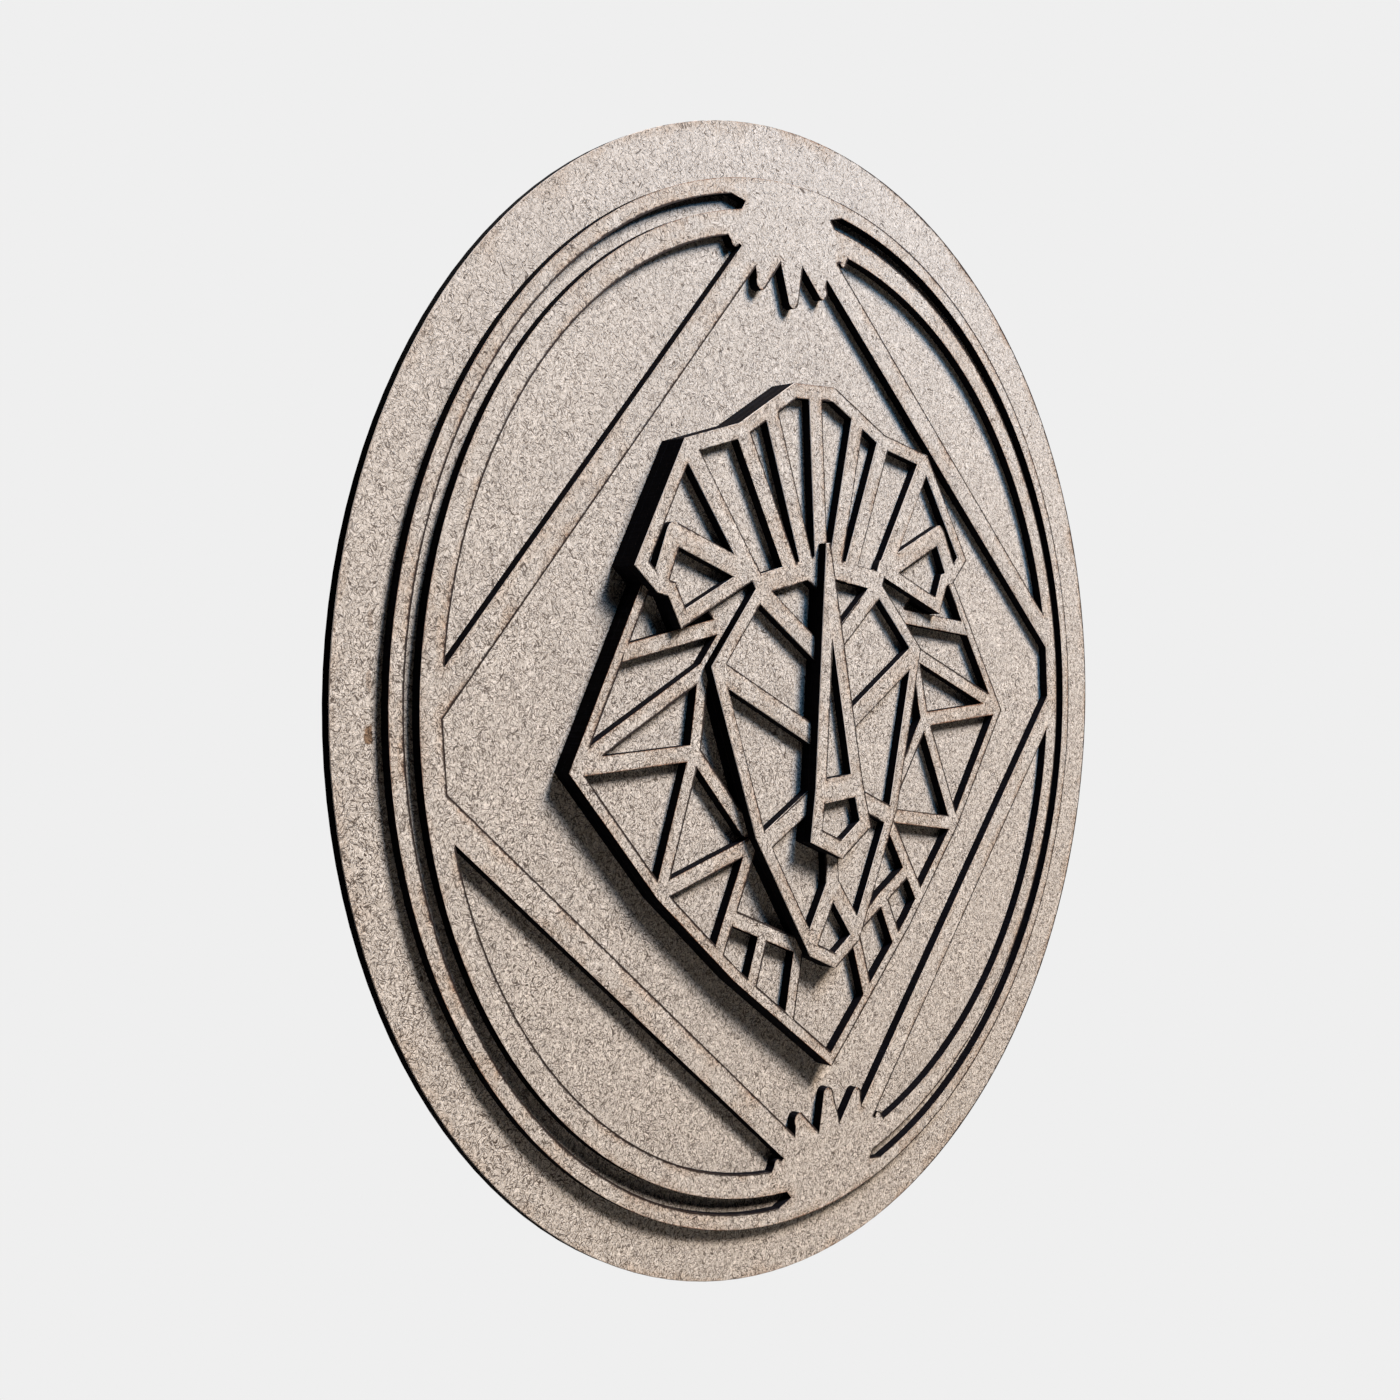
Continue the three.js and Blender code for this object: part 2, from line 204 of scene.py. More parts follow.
class EmblemStudio(bpy.types.PropertyGroup):
    """Camera and light"""

    camera_place: FloatVectorProperty(
        name="Camera place",
        description="Where the camera stands",
        default=(-373.9 * MM, -304.7 * MM, 37.4 * MM),
        subtype="TRANSLATION",
        unit="LENGTH",
    )
    camera_aim: FloatVectorProperty(
        name="Camera aim",
        description="The point in the middle of the picture",
        default=(-56.0 * MM, -9 * MM, 5.8 * MM),
        subtype="TRANSLATION",
        unit="LENGTH",
    )
    camera_roll: FloatProperty(
        name="Camera roll",
        description="Turn of the camera about its own line of sight",
        default=math.radians(-2.8),
        subtype="ANGLE",
    )
    lens: FloatProperty(
        name="Lens",
        description="Focal length in millimetres on a 36 mm sensor",
        default=39.545,
    )
    backdrop: FloatVectorProperty(
        name="Backdrop",
        description="Colour of the pale surroundings",
        default=linear("#EFEFEF"),
        subtype="COLOR",
    )
    shade: FloatVectorProperty(
        name="Shade",
        description="Light that comes evenly from all around",
        default=(0.012, 0.012, 0.013),
        subtype="COLOR",
    )
    key_colour: FloatVectorProperty(
        name="Key colour",
        description="Colour of the soft box at the upper right",
        default=(1.0, 0.86, 0.735),
        subtype="COLOR",
    )
    key_power: FloatProperty(
        name="Key light",
        description="Power of the soft box at the upper right",
        default=130,
        unit="POWER",
    )
    window_colour: FloatVectorProperty(
        name="Window colour",
        description="Colour of the cool daylight near the top",
        default=(0.15, 0.5, 1.0),
        subtype="COLOR",
    )
    window_power: FloatProperty(
        name="Window light",
        description="Power of the cool daylight near the top",
        default=3.3,
        unit="POWER",
    )
    back_power: FloatProperty(
        name="Back light",
        description="Power of the light that shows the back",
        default=16,
        unit="POWER",
    )


def select_only(context, piece):
    """Leaves this one object selected and active."""
    bpy.ops.object.select_all(action="DESELECT")
    piece.select_set(True)
    context.view_layer.objects.active = piece


def read(items, field, width=1):
    """One field of a mesh's vertices, edges or faces as an array."""
    values = numpy.empty(len(items) * width, dtype=numpy.float64)
    items.foreach_get(field, values)
    return values.reshape(-1, width) if width > 1 else values


def select_exactly(piece, kind, wanted):
    """Selects exactly these "edges" or "polygons" and enters edit mode."""
    mesh = piece.data
    for items in (mesh.vertices, mesh.edges, mesh.polygons):
        items.foreach_set("select", numpy.zeros(len(items), dtype=bool))
    getattr(mesh, kind).foreach_set("select", wanted)
    bpy.context.tool_settings.mesh_select_mode = (False, kind == "edges", kind == "polygons")
    bpy.ops.object.mode_set(mode="EDIT")


def copied_sheet(context, node, name):
    """A copy of a sheet in an object of its own, with its triangles joined into whole faces."""
    piece = bpy.data.objects.new(name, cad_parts[node].data.copy())
    piece.data.name = name
    context.scene.collection.objects.link(piece)
    select_only(context, piece)
    bpy.ops.object.mode_set(mode="EDIT")
    bpy.ops.mesh.select_all(action="SELECT")
    bpy.ops.mesh.remove_doubles(threshold=MERGE_DISTANCE)
    bpy.ops.mesh.dissolve_limited(angle_limit=COPLANAR)
    bpy.ops.object.mode_set(mode="OBJECT")
    return piece


def lean(piece):
    """How squarely each face looks along the sheet's thickness: 1 on front and back, 0 on a wall."""
    return numpy.abs(read(piece.data.polygons, "normal", 3)[:, 1])


def outline_walls(piece):
    """The cut walls of a sheet, ready to be asked how far a point is from them."""
    mesh = piece.data
    walls = [tuple(face.vertices) for face in mesh.polygons if abs(face.normal.y) < UPRIGHT]
    return BVHTree.FromPolygons([vertex.co.copy() for vertex in mesh.vertices], walls)


def cut_distances(walls, points):
    """Each point's distance from the nearest cut wall, up to FAR, and that wall's side: 1 where it faces
    right, 0 where it faces left, the side of the painted highlight.
    """
    distances = numpy.full(len(points), FAR)
    sides = numpy.full(len(points), 0.5)
    for index, point in enumerate(points):
        _place, normal, _wall, distance = walls.find_nearest(point, FAR)
        if distance is not None:
            distances[index] = distance
            sides[index] = 0.5 + 0.5 * normal.dot(SCORCH_HIGHLIGHT_WAY)
    return distances, sides


def edge_leans(piece):
    """For each edge, the smallest and the largest lean of the faces that share it."""
    mesh = piece.data
    totals = read(mesh.polygons, "loop_total").astype(int)
    corner_edges = read(mesh.loops, "edge_index").astype(int)
    corner_leans = numpy.repeat(lean(piece), totals)
    lowest = numpy.ones(len(mesh.edges))
    highest = numpy.zeros(len(mesh.edges))
    numpy.minimum.at(lowest, corner_edges, corner_leans)
    numpy.maximum.at(highest, corner_edges, corner_leans)
    return lowest, highest


def break_arrises(piece, width):
    """A small chamfer along every edge between a face and a cut wall."""
    lowest, highest = edge_leans(piece)
    select_exactly(piece, "edges", (lowest < UPRIGHT) & (highest > LEVEL))
    bpy.ops.mesh.bevel(offset_type="OFFSET", offset=width, segments=1, affect="EDGES", clamp_overlap=True)
    bpy.ops.object.mode_set(mode="OBJECT")


def triangulate_faces(piece):
    """Cuts the front and back faces into triangles."""
    select_exactly(piece, "polygons", lean(piece) > LEVEL)
    bpy.ops.mesh.quads_convert_to_tris(quad_method="BEAUTY", ngon_method="BEAUTY")
    bpy.ops.object.mode_set(mode="OBJECT")


def refine_faces(piece, walls):
    """Splits the faces near the cuts until the distance from the cut runs evenly over them."""
    for _ in range(MOST_PASSES):
        triangulate_faces(piece)
        mesh = piece.data
        lowest, _highest = edge_leans(piece)
        inner = numpy.flatnonzero(lowest > LEVEL)
        places = read(mesh.vertices, "co", 3)
        ends = read(mesh.edges, "vertices", 2).astype(int)[inner]
        at_points, _sides = cut_distances(walls, places)
        middles, _sides = cut_distances(walls, places[ends].mean(axis=1))
        guessed = at_points[ends].mean(axis=1)
        nearest = numpy.minimum(middles, guessed)
        wrong = (numpy.abs(middles - guessed) > LEAST_ERROR + ERROR_SHARE * nearest) & (nearest < NEAR)
        if not wrong.any():
            break
        wanted = numpy.zeros(len(mesh.edges), dtype=bool)
        wanted[inner[wrong]] = True
        select_exactly(piece, "edges", wanted)
        bpy.ops.mesh.subdivide(number_cuts=1)
        bpy.ops.object.mode_set(mode="OBJECT")
    triangulate_faces(piece)


def write_scorch_and_highlight(piece, node, walls):
    """Keeps each point's distance from the cut, in millimetres, and each face corner's side of it, which
    sets scorch or painted highlight.
    """
    mesh = piece.data
    places = read(mesh.vertices, "co", 3)
    distances, _sides = cut_distances(walls, places)
    nearness = mesh.attributes.new(DISTANCE_ATTRIBUTE, "FLOAT", "POINT")
    nearness.data.foreach_set("value", distances / MM)
    # Two walls meet at a corner of the outline, so each face asks from a little inside itself.
    totals = read(mesh.polygons, "loop_total").astype(int)
    centres = numpy.repeat(read(mesh.polygons, "center", 3), totals, axis=0)
    corners = places[read(mesh.loops, "vertex_index").astype(int)]
    asked = corners + INWARD * (centres - corners)
    _distances, sides = cut_distances(walls, asked)
    seam = corners[:, 1] > places[:, 1].mean()
    if node in ON_TOP:
        above, _sides = cut_distances(outline_walls(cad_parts[ON_TOP[node]]), asked)
        seam |= above < FLUSH
    sides[seam] = SEAM
    side = mesh.attributes.new(SIDE_ATTRIBUTE, "FLOAT", "CORNER")
    side.data.foreach_set("value", sides)


def paint_by_side(piece, materials):
    """Gives the faces, the walls and the arrises their own materials, in that order."""
    piece.data.materials.clear()
    for material in materials:
        piece.data.materials.append(material)
    level = lean(piece)
    slots = numpy.where(level > LEVEL, 0, numpy.where(level < UPRIGHT, 1, 2))
    piece.data.polygons.foreach_set("material_index", slots.astype(numpy.int32))


def finish_sheet(context, node, name):
    """Makes the dressed copy of one sheet and puts it in the place of its node."""
    piece = copied_sheet(context, node, name)
    walls = outline_walls(piece)
    break_arrises(piece, context.scene.emblem_sheets.arris)
    refine_faces(piece, walls)
    write_scorch_and_highlight(piece, node, walls)
    look = context.scene.emblem_finish
    paint_by_side(piece, [board_material(look), cut_material(look), arris_material(look)])
    select_only(context, piece)
    bpy.ops.object.shade_smooth_by_angle(angle=SMOOTH_ANGLE)
    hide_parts(node)
    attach(piece, BODY)


def add_node(tree, kind, inputs=None, **settings):
    """Adds a node with its settings. An input is a value or the socket that feeds it."""
    node = tree.nodes.new(kind)
    for field, value in settings.items():
        setattr(node, field, value)
    for key, value in (inputs or {}).items():
        if isinstance(value, bpy.types.NodeSocket):
            tree.links.new(value, node.inputs[key])
        else:
            node.inputs[key].default_value = value
    return node


def new_material(name):
    """A new material, its nodes and its shader."""
    material = bpy.data.materials.new(name)
    material.use_nodes = True
    return material, material.node_tree, material.node_tree.nodes["Principled BSDF"]


def millimetres(tree):
    """The place on the emblem, in millimetres."""
    place = add_node(tree, "ShaderNodeTexCoord").outputs["Object"]
    return add_node(
        tree,
        "ShaderNodeMapping",
        {"Vector": place, "Scale": (1 / MM, 1 / MM, 1 / MM)},
        vector_type="POINT",
    ).outputs["Vector"]


def maths(tree, how, first, second=0.0, third=0.0):
    """The result of a Math node."""
    return add_node(tree, "ShaderNodeMath", {0: first, 1: second, 2: third}, operation=how).outputs[0]


def ramp(tree, value, low, high, start=0.0, end=1.0, soft=False):
    """A value carried from low..high to start..end, and held at those ends."""
    return add_node(
        tree,
        "ShaderNodeMapRange",
        {"Value": value, "From Min": low, "From Max": high, "To Min": start, "To Max": end},
        interpolation_type="SMOOTHSTEP" if soft else "LINEAR",
    ).outputs["Result"]


def noise(tree, vector, size, detail=0.0, roughness=0.5):
    """Soft noise with bumps about this size, between 0 and 1."""
    settings = {"Vector": vector, "Scale": 1 / size, "Detail": detail, "Roughness": roughness}
    return add_node(tree, "ShaderNodeTexNoise", settings)


def moved(tree, vector, shift):
    """A place shifted by as much along each axis."""
    inputs = {0: vector, 1: (shift, shift, shift)}
    return add_node(tree, "ShaderNodeVectorMath", inputs, operation="ADD").outputs[0]


def blended(tree, share, first, second, how="MIX"):
    """Two colours mixed by a share."""
    mix = add_node(tree, "ShaderNodeMix", data_type="RGBA", blend_type=how, clamp_result=False)
    for socket, value in ((mix.inputs[0], share), (mix.inputs[6], first), (mix.inputs[7], second)):
        if isinstance(value, bpy.types.NodeSocket):
            tree.links.new(value, socket)
        else:
            socket.default_value = value
    return mix.outputs[2]


def strongest(tree, layers):
    """The largest of several values at each point."""
    result = layers[0]
    for layer in layers[1:]:
        result = maths(tree, "MAXIMUM", result, layer)
    return result


def fibres(tree, place, length, width, angles, limits, seed):
    """Fibres of this size at these angles in the face: 1 on a fibre and 0 beside it."""
    layers = []
    for index, angle in enumerate(angles):
        turned = add_node(
            tree,
            "ShaderNodeMapping",
            {
                "Vector": place,
                # Each angle reads another part of the noise.
                "Location": (seed + index * 17.3, seed - index * 5.1, seed + index * 11.9),
                "Rotation": (0, math.radians(angle), 0),
                # One bump of the noise is about half as long as its period.
                "Scale": (2 * length, 2 * width, 2 * width),
            },
            vector_type="TEXTURE",
        ).outputs["Vector"]
        layers.append(ramp(tree, noise(tree, turned, 1.0).outputs["Fac"], *limits))
    return strongest(tree, layers)


def bark_specks(tree, in_mm, spacing, radius, share, shift):
    """Small dark dots, one in some of the cells of a loose grid: 1 on a dot and 0 beside it."""
    place = moved(tree, in_mm, shift)
    cells = add_node(tree, "ShaderNodeTexVoronoi", {"Vector": place, "Scale": 1 / spacing})
    chance = add_node(tree, "ShaderNodeSeparateColor", {"Color": cells.outputs["Color"]})
    reach = maths(tree, "MULTIPLY", chance.outputs["Green"], radius / spacing)
    reach = maths(tree, "ADD", reach, 0.3 * radius / spacing)
    inside = maths(tree, "LESS_THAN", cells.outputs["Distance"], reach)
    return maths(tree, "MULTIPLY", inside, maths(tree, "LESS_THAN", chance.outputs["Red"], share))


def bent_place(tree, in_mm):
    """The place pushed about by a slow noise, so that the fibres bend a little."""
    drift = noise(tree, in_mm, BEND_SIZE).outputs["Color"]
    drift = moved(tree, drift, -0.5)
    inputs = {0: drift, 1: (BEND_REACH, BEND_REACH, BEND_REACH), 2: in_mm}
    return add_node(tree, "ShaderNodeVectorMath", inputs, operation="MULTIPLY_ADD").outputs[0]


def board_material(look):
    """Raw MDF, sanded at the mill: a matt grey-beige face of fine fibres that lie every way."""
    name = "raw_mdf_face"
    if name in bpy.data.materials:
        return bpy.data.materials[name]
    material, tree, shader = new_material(name)
    in_mm = millimetres(tree)
    bent = bent_place(tree, in_mm)
    length, width = look.fibre_length / MM, look.fibre_width / MM
    light = fibres(tree, bent, length, width, **LIGHT_FIBRES)
    dark = fibres(tree, bent, length, width, **DARK_FIBRES)
    long_dark = fibres(tree, bent, look.long_fibre / MM, width, **LONG_FIBRES)
    mottle = noise(tree, in_mm, MOTTLE_SIZE, 1.0).outputs["Fac"]
    blotch = noise(tree, in_mm, BLOTCH_SIZE, 3.0).outputs["Fac"]
    # The fibres and the mottle stand out more further down the board.
    height = add_node(tree, "ShaderNodeSeparateXYZ", {"Vector": in_mm}).outputs["Z"]
    fibre_contrast = ramp(tree, height, FAINT_HEIGHT, STRONG_HEIGHT, 0.55, 1.0)
    light_share = maths(tree, "MULTIPLY", maths(tree, "MULTIPLY", light, 0.8), fibre_contrast)
    colour = blended(tree, light_share, opaque(look.face), opaque(look.light_fibre))
    dark_share = maths(tree, "MULTIPLY", dark, ramp(tree, blotch, 0.35, 0.65, 0.75, 1.0))
    dark_share = maths(tree, "MULTIPLY", dark_share, fibre_contrast)
    dark_share = maths(tree, "MAXIMUM", dark_share, maths(tree, "MULTIPLY", long_dark, 0.9))
    colour = blended(tree, dark_share, colour, opaque(look.dark_fibre))
    bark = strongest(tree, [bark_specks(tree, in_mm, **kind) for kind in SPECKS])
    colour = blended(tree, maths(tree, "MULTIPLY", bark, 0.95), colour, opaque(look.bark))
    grain = maths(tree, "MULTIPLY", fibre_contrast, 0.5)
    grain = maths(tree, "MULTIPLY_ADD", maths(tree, "SUBTRACT", mottle, 0.5), grain, 1.0)
    tone = maths(tree, "MULTIPLY", ramp(tree, blotch, 0.3, 0.7, 0.96, 1.04), grain)
    grey = add_node(tree, "ShaderNodeCombineColor", {0: tone, 1: tone, 2: tone}).outputs[0]
    colour = blended(tree, 1.0, colour, grey, "MULTIPLY")
    colour = smoke_and_pale_highlight(tree, in_mm, look, colour)
    for stain in STAINS:
        colour = stained(tree, in_mm, look, colour, *stain)
    tree.links.new(colour, shader.inputs["Base Color"])
    surface = maths(tree, "SUBTRACT", maths(tree, "ADD", mottle, light), dark)
    bump = add_node(tree, "ShaderNodeBump", {"Height": surface, "Strength": 0.4, "Distance": 0.07 * MM})
    tree.links.new(bump.outputs[0], shader.inputs["Normal"])
    shader.inputs["Roughness"].default_value = 0.85
    shader.inputs["Specular IOR Level"].default_value = 0.3
    return material


def smoke_and_pale_highlight(tree, in_mm, look, colour):
    """The colour with what smoke leaves beside a cut: a burnt line, a brown rim and a wide pale haze, all
    weaker or missing beside cuts whose walls face left, as a painted highlight.
    """
    distance = add_node(tree, "ShaderNodeAttribute", attribute_name=DISTANCE_ATTRIBUTE).outputs["Fac"]
    side = add_node(tree, "ShaderNodeAttribute", attribute_name=SIDE_ATTRIBUTE).outputs["Fac"]
    patches = noise(tree, in_mm, PATCH_SIZE, 2.0).outputs["Fac"]
    ragged = noise(tree, in_mm, RAGGED_SIZE, 2.0, 0.6).outputs["Fac"]
    haze_reach = ramp(tree, patches, 0.42, 0.7, 0.6, look.haze_reach / MM)
    haze = ramp(tree, maths(tree, "DIVIDE", distance, haze_reach), 0.0, 1.0, 1.0, 0.0, soft=True)
    haze = maths(tree, "MULTIPLY", haze, ramp(tree, ragged, 0.3, 0.7, 0.2, 0.8))
    # Painted highlight: beside the cuts whose walls face left the haze is halved, the rim is narrower and
    # the burnt line is left out.
    haze = maths(tree, "MULTIPLY", haze, ramp(tree, side, 0.0, 1.0, 0.5, 1.0))
    colour = blended(tree, haze, colour, opaque(look.haze), "MULTIPLY")
    rim_reach = maths(tree, "MULTIPLY", ramp(tree, patches, 0.38, 0.68, 0.25, 1.0), look.rim_reach / MM)
    rim_reach = maths(tree, "MULTIPLY", rim_reach, ramp(tree, ragged, 0.3, 0.7, 0.5, 1.2))
    rim_reach = maths(tree, "MULTIPLY", rim_reach, ramp(tree, side, 0.35, 0.85, 0.25, 1.0))
    rim = ramp(tree, maths(tree, "DIVIDE", distance, rim_reach), 0.1, 1.0, 0.9, 0.0, soft=True)
    colour = blended(tree, rim, colour, opaque(look.rim), "MULTIPLY")
    line_reach = maths(tree, "MULTIPLY", ramp(tree, ragged, 0.3, 0.7, 0.6, 1.1), look.line_reach / MM)
    line_reach = maths(tree, "MULTIPLY", line_reach, ramp(tree, side, 0.5, 0.7, 0.0, 1.0))
    line_reach = maths(tree, "ADD", line_reach, 0.01)
    line = ramp(tree, maths(tree, "DIVIDE", distance, line_reach), 0.5, 1.0, 0.97, 0.0, soft=True)
    return blended(tree, line, colour, opaque(look.scorch))


def stained(tree, in_mm, look, colour, x, y, z, half_width, half_height, strength):
    """The colour with one small oval stain, on the one sheet whose face is at y."""
    inside = add_node(
        tree,
        "ShaderNodeMapping",
        {"Vector": in_mm, "Location": (x, y, z), "Scale": (half_width, 1.0, half_height)},
        vector_type="TEXTURE",
    ).outputs["Vector"]
    away = add_node(tree, "ShaderNodeVectorMath", {0: inside}, operation="LENGTH").outputs["Value"]
    ragged = noise(tree, in_mm, STAIN_RAGGED_SIZE, 2.0).outputs["Fac"]
    ragged = ramp(tree, ragged, 0.3, 0.7, -0.3, 0.3)
    share = ramp(tree, maths(tree, "ADD", away, ragged), 0.75, 1.1, strength, 0.0, soft=True)
    return blended(tree, share, colour, opaque(look.stain), "MULTIPLY")


def cut_material(look):
    """The laser-cut wall of MDF: burnt nearly black and matt, with fine grooves across the board."""
    name = "charred_cut_wall"
    if name in bpy.data.materials:
        return bpy.data.materials[name]
    material, tree, shader = new_material(name)
    in_mm = millimetres(tree)
    # The grooves run straight through the board, so the pattern is stretched along its thickness.
    through = add_node(
        tree, "ShaderNodeMapping", {"Vector": in_mm, "Scale": (1.0, 0.05, 1.0)}, vector_type="POINT"
    ).outputs["Vector"]
    grooves = noise(tree, through, look.groove_width / MM, 2.0, 0.6).outputs["Fac"]
    soot = noise(tree, in_mm, SOOT_SIZE, 2.0).outputs["Fac"]
    share = ramp(tree, soot, 0.35, 0.65, 0.25, 1.0)
    share = maths(tree, "MULTIPLY", ramp(tree, grooves, 0.45, 0.75), share)
    colour = blended(tree, share, opaque(look.char), opaque(look.ash))
    tree.links.new(colour, shader.inputs["Base Color"])
    bump = add_node(tree, "ShaderNodeBump", {"Height": grooves, "Strength": 0.5, "Distance": 0.08 * MM})
    tree.links.new(bump.outputs[0], shader.inputs["Normal"])
    shader.inputs["Roughness"].default_value = 0.9
    shader.inputs["Specular IOR Level"].default_value = 0.03
    return material


def arris_material(look):
    """The edge between face and cut: burnt dark brown where its wall faces right, and light, a painted
    highlight, where its wall faces left.
    """
    name = "scorched_arris"
    if name in bpy.data.materials:
        return bpy.data.materials[name]
    material, tree, shader = new_material(name)
    in_mm = millimetres(tree)
    side = add_node(tree, "ShaderNodeAttribute", attribute_name=SIDE_ATTRIBUTE).outputs["Fac"]
    highlight_ragged = noise(tree, in_mm, HIGHLIGHT_RAGGED_SIZE, 2.0).outputs["Fac"]
    highlight_ragged = ramp(tree, highlight_ragged, 0.3, 0.7, -0.2, 0.2)
    share = ramp(tree, maths(tree, "ADD", side, highlight_ragged), 0.25, 0.6)
    # The light arris is a painted highlight; the dark one is scorch.
    colour = blended(tree, share, opaque(look.arris_highlight), opaque(look.scorch))
    # A seam is nearly as black as the walls, with greyer stretches along it.
    grey_stretch = ramp(tree, noise(tree, in_mm, SEAM_GREY_SIZE, 1.0).outputs["Fac"], 0.5, 0.65)
    seam = blended(tree, grey_stretch, opaque(look.char), opaque(look.ash))
    colour = blended(tree, ramp(tree, side, 1.2, 1.8), colour, seam)
    tree.links.new(colour, shader.inputs["Base Color"])
    shader.inputs["Roughness"].default_value = 0.8
    shader.inputs["Specular IOR Level"].default_value = 0.2
    return material


class EMBLEM_OT_backing_disc(bpy.types.Operator):
    """Finish the plain round disc that everything is glued to"""

    bl_idname = "emblem.backing_disc"
    bl_label = "Backing disc"

    def execute(self, context):
        finish_sheet(context, "backing_disc", "disc_board")
        return {"FINISHED"}


class EMBLEM_OT_ring_frame(bpy.types.Operator):
    """Finish the ring with its slots, diagonal bars and claw tufts"""

    bl_idname = "emblem.ring_frame"
    bl_label = "Ring frame"

    def execute(self, context):
        finish_sheet(context, "ring_frame", "ring_board")
        return {"FINISHED"}


class EMBLEM_OT_lion_base_plate(bpy.types.Operator):
    """Finish the plate under the lion's head"""

    bl_idname = "emblem.lion_base_plate"
    bl_label = "Lion base plate"

    def execute(self, context):
        finish_sheet(context, "lion_base_plate", "base_board")
        return {"FINISHED"}


class EMBLEM_OT_mane_lattice(bpy.types.Operator):
    """Finish the openwork of the mane"""

    bl_idname = "emblem.mane_lattice"
    bl_label = "Mane lattice"

    def execute(self, context):
        finish_sheet(context, "mane_lattice", "mane_board")
        return {"FINISHED"}


class EMBLEM_OT_face_lattice(bpy.types.Operator):
    """Finish the crown, the ears and the openwork of the face"""

    bl_idname = "emblem.face_lattice"
    bl_label = "Face lattice"

    def execute(self, context):
        finish_sheet(context, "face_lattice", "face_board")
        return {"FINISHED"}


class EMBLEM_OT_nose_bridge(bpy.types.Operator):
    """Finish the nose"""

    bl_idname = "emblem.nose_bridge"
    bl_label = "Nose bridge"

    def execute(self, context):
        finish_sheet(context, "nose_bridge", "nose_board")
        return {"FINISHED"}


class EMBLEM_OT_stage(bpy.types.Operator):
    """Set up the pale floor, the soft light and the camera"""

    bl_idname = "emblem.stage"
    bl_label = "Stage"

    def execute(self, context):
        studio = context.scene.emblem_studio
        add_surroundings(context, studio)
        add_floor(context)
        add_lights(context, studio)
        add_camera(context, studio)
        return {"FINISHED"}


def add_surroundings(context, studio):
    """A plain pale backdrop on every side, and a dimmer even light on the emblem."""
    world = bpy.data.worlds.new("pale_surroundings")
    world.use_nodes = True
    tree = world.node_tree
    shade = tree.nodes["Background"]
    shade.inputs["Color"].default_value = opaque(studio.shade)
    backdrop = add_node(tree, "ShaderNodeBackground", {"Color": opaque(studio.backdrop)})
    seen = add_node(tree, "ShaderNodeLightPath").outputs["Is Camera Ray"]
    mix = add_node(tree, "ShaderNodeMixShader", {0: seen, 1: shade.outputs[0], 2: backdrop.outputs[0]})
    tree.links.new(mix.outputs[0], tree.nodes["World Output"].inputs["Surface"])
    context.scene.world = world
    context.scene.view_settings.view_transform = "Standard"


def add_floor(context):
    """A floor of matt white board, far enough below the emblem to stay out of the picture."""
    bpy.ops.object.select_all(action="DESELECT")
    bpy.ops.mesh.primitive_circle_add(
        vertices=FLOOR_SIDES, radius=FLOOR_RADIUS, fill_type="NGON", location=FLOOR_PLACE
    )
    floor = context.object
    floor.name = "studio_floor"
    bpy.ops.object.transform_apply(location=True, rotation=True, scale=True)
    # White board, unlacquered: it scatters light evenly and shows no gloss.
    material, _tree, shader = new_material("matt_white_board")
    shader.inputs["Base Color"].default_value = opaque(linear("#BDBDBD"))
    shader.inputs["Roughness"].default_value = 0.9
    floor.data.materials.append(material)


def add_soft_box(context, name, place, size, power, colour):
    """A square soft box that faces the middle of the emblem."""
    lamp = bpy.data.lights.new(name, "AREA")
    lamp.shape = "SQUARE"
    lamp.size = size
    lamp.energy = power
    lamp.color = colour
    light = bpy.data.objects.new(name, lamp)
    light.location = place
    light.rotation_euler = (-Vector(place)).to_track_quat("-Z", "Y").to_euler()
    context.scene.collection.objects.link(light)


def add_lights(context, studio):
    """The main light at the upper right, a cool one above, and one that shows the back."""
    add_soft_box(context, "key_box", KEY_PLACE, KEY_SIZE, studio.key_power, studio.key_colour)
    add_soft_box(
        context, "window_box", WINDOW_PLACE, WINDOW_SIZE, studio.window_power, studio.window_colour
    )
    add_soft_box(context, "back_box", BACK_PLACE, BACK_SIZE, studio.back_power, (1, 1, 1))


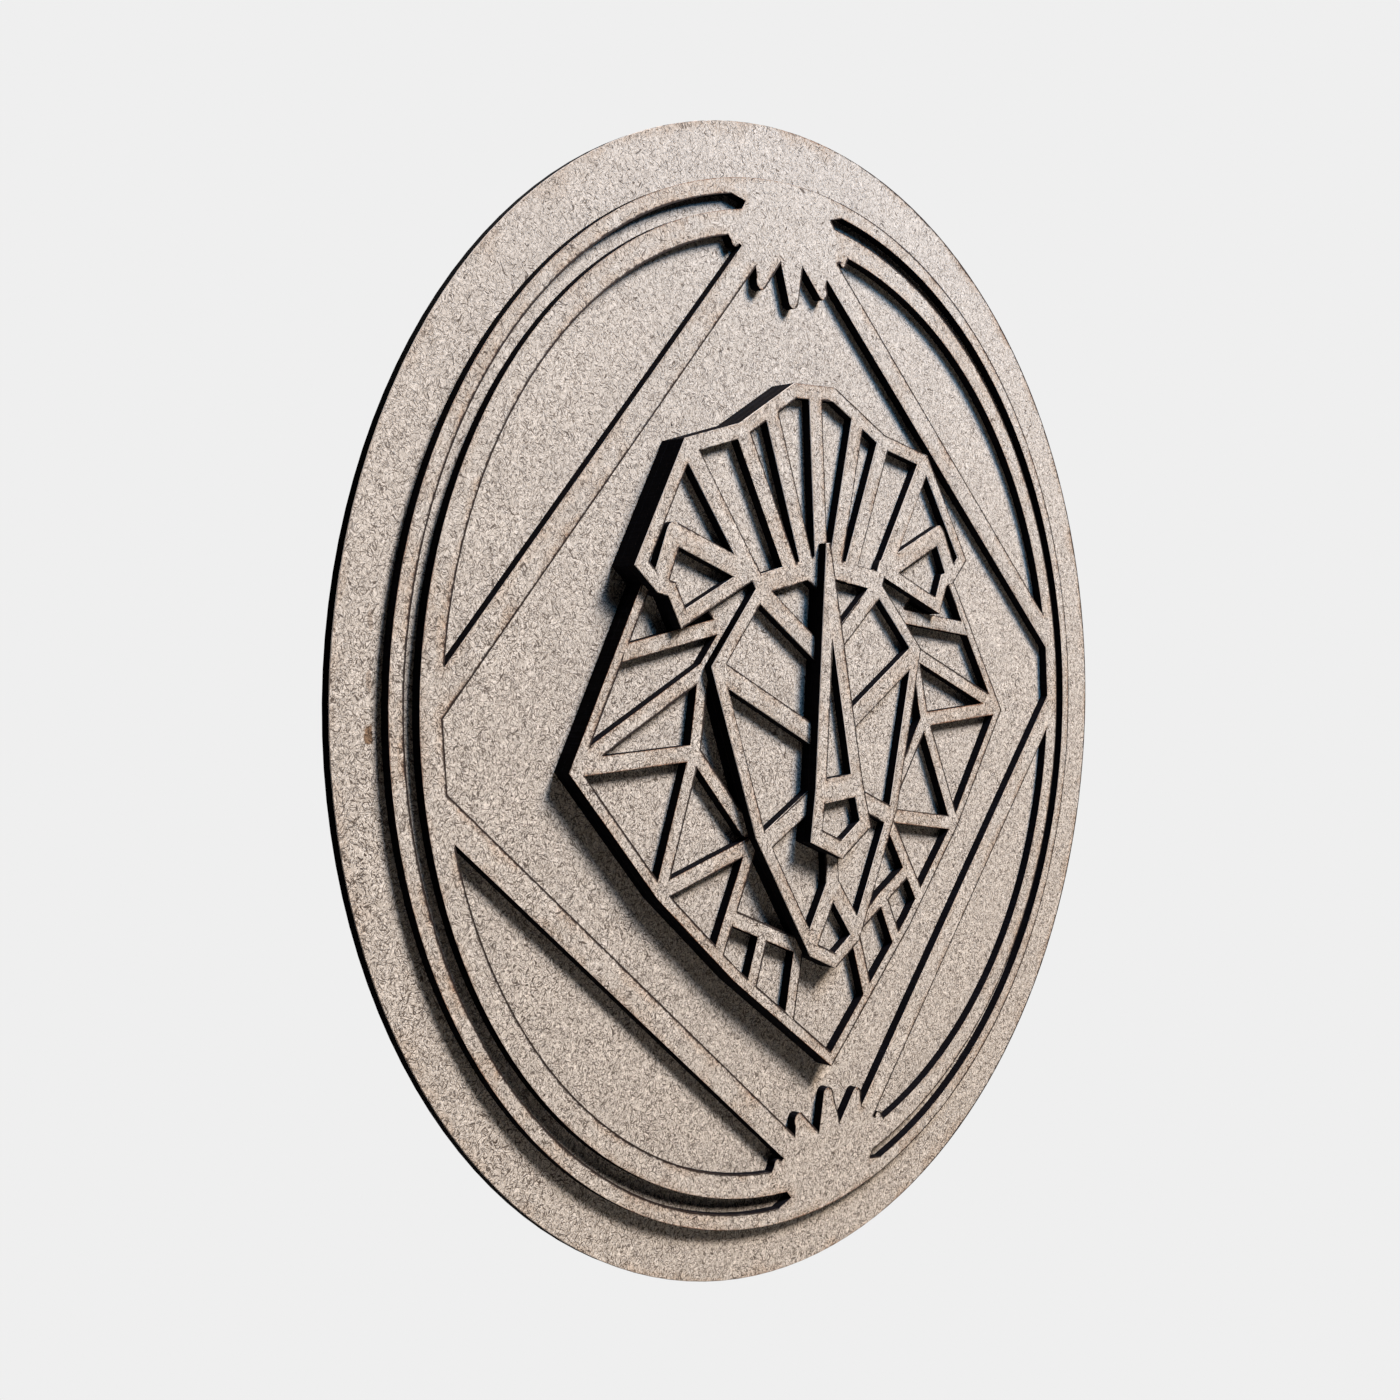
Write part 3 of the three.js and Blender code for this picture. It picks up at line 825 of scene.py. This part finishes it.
def add_camera(context, studio):
    """The camera, to the left of the emblem and close to it, as the photograph was taken."""
    camera = bpy.data.objects.new("camera", bpy.data.cameras.new("camera"))
    camera.data.lens = studio.lens
    camera.data.sensor_width = SENSOR_WIDTH
    camera.data.clip_start = NEAREST_SEEN
    camera.location = studio.camera_place
    sight = Vector(studio.camera_aim) - Vector(studio.camera_place)
    level = sight.to_track_quat("-Z", "Y")
    camera.rotation_mode = "QUATERNION"
    camera.rotation_quaternion = level @ Quaternion((0, 0, 1), studio.camera_roll)
    context.scene.collection.objects.link(camera)
    context.scene.camera = camera


OPERATORS = (
    EMBLEM_OT_stage,
    EMBLEM_OT_backing_disc,
    EMBLEM_OT_ring_frame,
    EMBLEM_OT_lion_base_plate,
    EMBLEM_OT_mane_lattice,
    EMBLEM_OT_face_lattice,
    EMBLEM_OT_nose_bridge,
)


class EMBLEM_PT_panel(bpy.types.Panel):
    """The steps that finish the emblem"""

    bl_idname = "EMBLEM_PT_panel"
    bl_label = "Lion Emblem"
    bl_space_type = "VIEW_3D"
    bl_region_type = "UI"
    bl_category = "Lion Emblem"

    def draw(self, context):
        for operator in OPERATORS:
            self.layout.operator(operator.bl_idname)


CLASSES = (EmblemSheets, EmblemFinish, EmblemStudio, *OPERATORS, EMBLEM_PT_panel)


def register():
    for entry in CLASSES:
        bpy.utils.register_class(entry)
    bpy.types.Scene.emblem_sheets = PointerProperty(type=EmblemSheets)
    bpy.types.Scene.emblem_finish = PointerProperty(type=EmblemFinish)
    bpy.types.Scene.emblem_studio = PointerProperty(type=EmblemStudio)


def unregister():
    del bpy.types.Scene.emblem_studio
    del bpy.types.Scene.emblem_finish
    del bpy.types.Scene.emblem_sheets
    for entry in reversed(CLASSES):
        bpy.utils.unregister_class(entry)


def main():
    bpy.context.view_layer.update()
    register()
    bpy.ops.emblem.stage()
    bpy.ops.emblem.backing_disc()
    bpy.ops.emblem.ring_frame()
    bpy.ops.emblem.lion_base_plate()
    bpy.ops.emblem.mane_lattice()
    bpy.ops.emblem.face_lattice()
    bpy.ops.emblem.nose_bridge()


if __name__ == "__main__":
    main()
